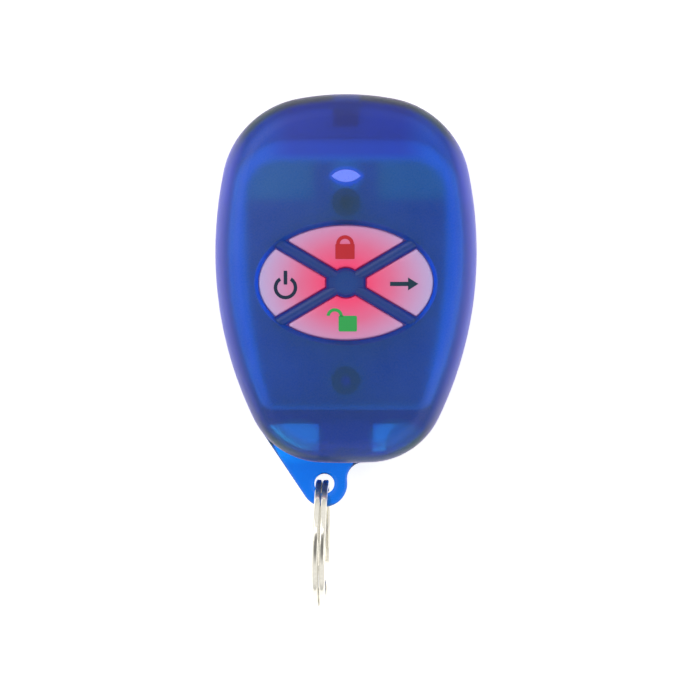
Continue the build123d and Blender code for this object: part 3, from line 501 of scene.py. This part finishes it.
def strip(name, tones, roughness, along=brush_along, across=brush_across):
    """Brushed metal: two tones, a fine bump and a spread of gloss that follow the brush lines."""
    metal, shader = finish(name, Metallic=1.0)
    group = add_node(metal, "ShaderNodeGroup", {"node_tree": brushed}, Along=along, Across=across)
    tone = tinted(metal, group.outputs["Streak"], *tones)
    surfaced(metal, shader, tone, group.outputs["Streak"], 0.002 * mm, 0.5, roughness)
    return metal


spring_steel = strip("tinned_spring_strip", ((0.62, 0.60, 0.54), (0.76, 0.74, 0.68)), (0.2, 0.34))
dress(spring_steel, "battery_clip", "battery_contact")

cell_steel, cell_shader = finish("cell_can", Metallic=1.0)
cell_low, cell_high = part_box("coin_cell")
cell_place = add_node(cell_steel, "ShaderNodeTexCoord")
cell_centre = add_node(cell_steel, "ShaderNodeMapping")
cell_centre.inputs["Location"].default_value = tuple(-(cell_low + cell_high) / 2)
cell_rings = add_node(
    cell_steel, "ShaderNodeTexWave", {"wave_type": "RINGS", "rings_direction": "Z"},
    Scale=1500.0, Distortion=3.0, Detail=3.0, Detail_Scale=2.0,
)
join(cell_steel, cell_place.outputs["Object"], cell_centre.inputs["Vector"])
join(cell_steel, cell_centre.outputs["Vector"], cell_rings.inputs["Vector"])
cell_tone = tinted(cell_steel, cell_rings.outputs["Fac"], (0.56, 0.57, 0.58), (0.72, 0.73, 0.74))
cell_gloss = faded(cell_steel, cell_rings.outputs["Fac"], 0, 1, "LINEAR", To_Min=0.2, To_Max=0.34)
join(cell_steel, cell_tone, cell_shader.inputs["Base Color"])
join(cell_steel, cell_gloss, cell_shader.inputs["Roughness"])
dress(cell_steel, "coin_cell")

# Parts under the board
# Black moulded packages, a can for the resonator, brown ceramic chips and tinned leads, all
# soldered to the board's underside.
epoxy, epoxy_shader = finish("moulded_epoxy", IOR=1.5)
grained(epoxy, epoxy_shader, ((0.012, 0.012, 0.014), (0.022, 0.022, 0.025)), 0.006 * mm, (0.5, 0.66), 8000.0)
dress(epoxy, "controller_chip", "radio_transistor", "chip_resistors")
ceramic, ceramic_shader = finish("fired_ceramic", IOR=1.6)
grained(ceramic, ceramic_shader, ((0.30, 0.19, 0.10), (0.42, 0.29, 0.17)), 0.003 * mm, (0.38, 0.52), 8000.0)
dress(ceramic, "chip_capacitors", "tuning_capacitor")
tin = strip("bright_tin", ((0.66, 0.66, 0.66), (0.80, 0.80, 0.80)), (0.18, 0.3), 400.0)
dress(tin, "chip_leads", "saw_resonator")

# Solder
# A small bright bead at each lead and at each end of the chips, drawn up against the metal. Node
# instances place one bead on each point.
bead_width, bead_height, bead_sink = 0.62 * mm, 0.4 * mm, 0.05 * mm
chip_half, lead_half, lead_foot = 0.8 * mm, 0.21 * mm, 0.1 * mm
board_low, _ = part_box("circuit_board")
lead_low, lead_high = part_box("chip_leads")
lead_count = 6
lead_gap = (lead_high.x - lead_low.x - 2 * lead_half) / (lead_count - 1)
chip_middles = (
    (3.19, 16.79), (11.59, 14.4), (5.19, 11.41), (-5.01, -15.0), (-8.2, -15.0), (4.0, -17.6),
    (-1.6, 16.79), (-11.0, 8.61), (8.4, 12.39), (-5.01, -17.41), (-8.2, -17.41),
)
bead_places = [(x * mm + side * chip_half, y * mm) for x, y in chip_middles for side in (-1, 1)]
for index in range(lead_count):
    across = lead_low.x + lead_half + index * lead_gap
    bead_places += [(across, lead_low.y + lead_foot), (across, lead_high.y - lead_foot)]

bead_tree = bpy.data.node_groups.new("solder_beads", "GeometryNodeTree")
bead_tree.interface.new_socket("Geometry", in_out="INPUT", socket_type="NodeSocketGeometry")
width_input = bead_tree.interface.new_socket("Bead width", in_out="INPUT", socket_type="NodeSocketFloat")
height_input = bead_tree.interface.new_socket("Bead height", in_out="INPUT", socket_type="NodeSocketFloat")
metal_input = bead_tree.interface.new_socket("Solder", in_out="INPUT", socket_type="NodeSocketMaterial")
bead_tree.interface.new_socket("Geometry", in_out="OUTPUT", socket_type="NodeSocketGeometry")
bead_in = bead_tree.nodes.new("NodeGroupInput")
bead_out = bead_tree.nodes.new("NodeGroupOutput")
bead_ball = add_node(bead_tree, "GeometryNodeMeshUVSphere", Segments=12, Rings=6, Radius=0.5)
bead_size = add_node(bead_tree, "ShaderNodeCombineXYZ")
bead_copy = add_node(bead_tree, "GeometryNodeInstanceOnPoints")
bead_smooth = add_node(bead_tree, "GeometryNodeSetShadeSmooth")
bead_real = add_node(bead_tree, "GeometryNodeRealizeInstances")
bead_paint = add_node(bead_tree, "GeometryNodeSetMaterial")
join(bead_tree, bead_in.outputs["Geometry"], bead_copy.inputs["Points"])
join(bead_tree, bead_ball.outputs["Mesh"], bead_smooth.inputs["Geometry"])
join(bead_tree, bead_smooth.outputs["Geometry"], bead_copy.inputs["Instance"])
join(bead_tree, bead_in.outputs["Bead width"], bead_size.inputs["X"])
join(bead_tree, bead_in.outputs["Bead width"], bead_size.inputs["Y"])
join(bead_tree, bead_in.outputs["Bead height"], bead_size.inputs["Z"])
join(bead_tree, bead_size.outputs["Vector"], bead_copy.inputs["Scale"])
join(bead_tree, bead_copy.outputs["Instances"], bead_real.inputs["Geometry"])
join(bead_tree, bead_real.outputs["Geometry"], bead_paint.inputs["Geometry"])
join(bead_tree, bead_in.outputs["Solder"], bead_paint.inputs["Material"])
join(bead_tree, bead_paint.outputs["Geometry"], bead_out.inputs["Geometry"])

bead_points = bpy.data.meshes.new("solder_points")
bead_points.from_pydata([(x, y, board_low.z - bead_sink) for x, y in bead_places], [], [])
bead_maker = bpy.data.objects.new("solder_maker", bead_points)
bpy.context.scene.collection.objects.link(bead_maker)
maker = bead_maker.modifiers.new("beads", "NODES")
maker.node_group = bead_tree
maker[width_input.identifier] = bead_width
maker[height_input.identifier] = bead_height
maker[metal_input.identifier] = tin
bpy.context.view_layer.update()
bead_mesh = bpy.data.meshes.new_from_object(bead_maker.evaluated_get(bpy.context.evaluated_depsgraph_get()))
bpy.data.objects.remove(bead_maker)
solder = bpy.data.objects.new("solder_beads", bead_mesh)
bpy.context.scene.collection.objects.link(solder)
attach(solder, "root")

# Case screw
# Steel with a black oxide finish, turned and tapped in from the back.
screw_steel = strip("black_oxide", ((0.030, 0.030, 0.034), (0.065, 0.065, 0.07)), (0.3, 0.42), 3000.0, 3000.0)
dress(screw_steel, "case_screw")

# Key ring
# Spring wire rolled into two turns and plated with nickel, which has a warm cast. Fine rub marks run
# along the wire where keys slide on it.
ring_nickel = strip("bright_nickel", ((0.74, 0.71, 0.62), (0.90, 0.87, 0.78)), (0.09, 0.19), 2500.0, 2500.0)
dress(ring_nickel, "key_ring")

# Floor and light
# A white sheet under the fob and a white surround. The floor adds just enough light of its own to
# read as white from above, and still takes a soft shadow. Through the clear plastic it is plain white.
sheet_half = 1.5
floor_gap = 0.2 * mm
open_share = 0.56
paper = bpy.data.materials.new("white_sheet")
paper.use_nodes = True
paper_tree = paper.node_tree
paper_tree.nodes.remove(paper_tree.nodes["Principled BSDF"])
paper_card = add_node(paper, "ShaderNodeBsdfDiffuse", Color=(0.82, 0.82, 0.82, 1))
paper_glow = add_node(paper, "ShaderNodeEmission", Color=(1, 1, 1, 1))
paper_sum = add_node(paper, "ShaderNodeAddShader")
rays = add_node(paper, "ShaderNodeLightPath").outputs
seen_open = reckoned(paper, "MAXIMUM", rays["Is Camera Ray"], rays["Is Glossy Ray"])
open_level = reckoned(paper, "MULTIPLY", seen_open, open_share)
paper_level = reckoned(paper, "MAXIMUM", open_level, rays["Is Transmission Ray"])
join(paper, paper_level, paper_glow.inputs["Strength"])
join(paper, paper_card.outputs["BSDF"], paper_sum.inputs[0])
join(paper, paper_glow.outputs["Emission"], paper_sum.inputs[1])
join(paper, paper_sum.outputs["Shader"], paper_tree.nodes["Material Output"].inputs["Surface"])
floor_mesh = bpy.data.meshes.new("floor")
corners = [(x * sheet_half, y * sheet_half, -floor_gap) for x, y in ((-1, -1), (1, -1), (1, 1), (-1, 1))]
floor_mesh.from_pydata(corners, [], [(0, 1, 2, 3)])
floor_mesh.materials.append(paper)
floor = bpy.data.objects.new("floor", floor_mesh)
bpy.context.scene.collection.objects.link(floor)

# The surround is dimmer straight above, where the camera is, so that the face mirrors less of it, and
# a little dimmer at the horizon
sky_stops = ((0.0, 0.6), (0.3, 1.0), (0.8, 1.0), (0.97, 0.25))
surround = bpy.data.worlds.new("surround")
surround.use_nodes = True
bpy.context.scene.world = surround
sky = surround.node_tree.nodes["Background"]
sky_place = add_node(surround, "ShaderNodeTexCoord")
sky_axes = add_node(surround, "ShaderNodeSeparateXYZ")
join(surround, sky_place.outputs["Generated"], sky_axes.inputs["Vector"])
sky_tone = ramped(
    surround, sky_axes.outputs["Z"], [(height, (level, level, level)) for height, level in sky_stops],
)
sky_seen = add_node(surround, "ShaderNodeLightPath").outputs["Is Camera Ray"]
join(surround, reckoned(surround, "MAXIMUM", sky_tone, sky_seen), sky.inputs["Strength"])
sky.inputs["Color"].default_value = (1, 1, 1, 1)

for name, place, size, power in (
    ("key_light", (-0.28, 0.22, 0.55), 0.45, 1.0),
    ("fill_light", (0.40, -0.15, 0.45), 0.40, 0.4),
):
    panel = bpy.data.lights.new(name, "AREA")
    panel.size = size
    panel.energy = power
    lamp = bpy.data.objects.new(name, panel)
    lamp.location = place
    lamp.rotation_euler = (-Vector(place)).to_track_quat("-Z", "Y").to_euler()
    bpy.context.scene.collection.objects.link(lamp)
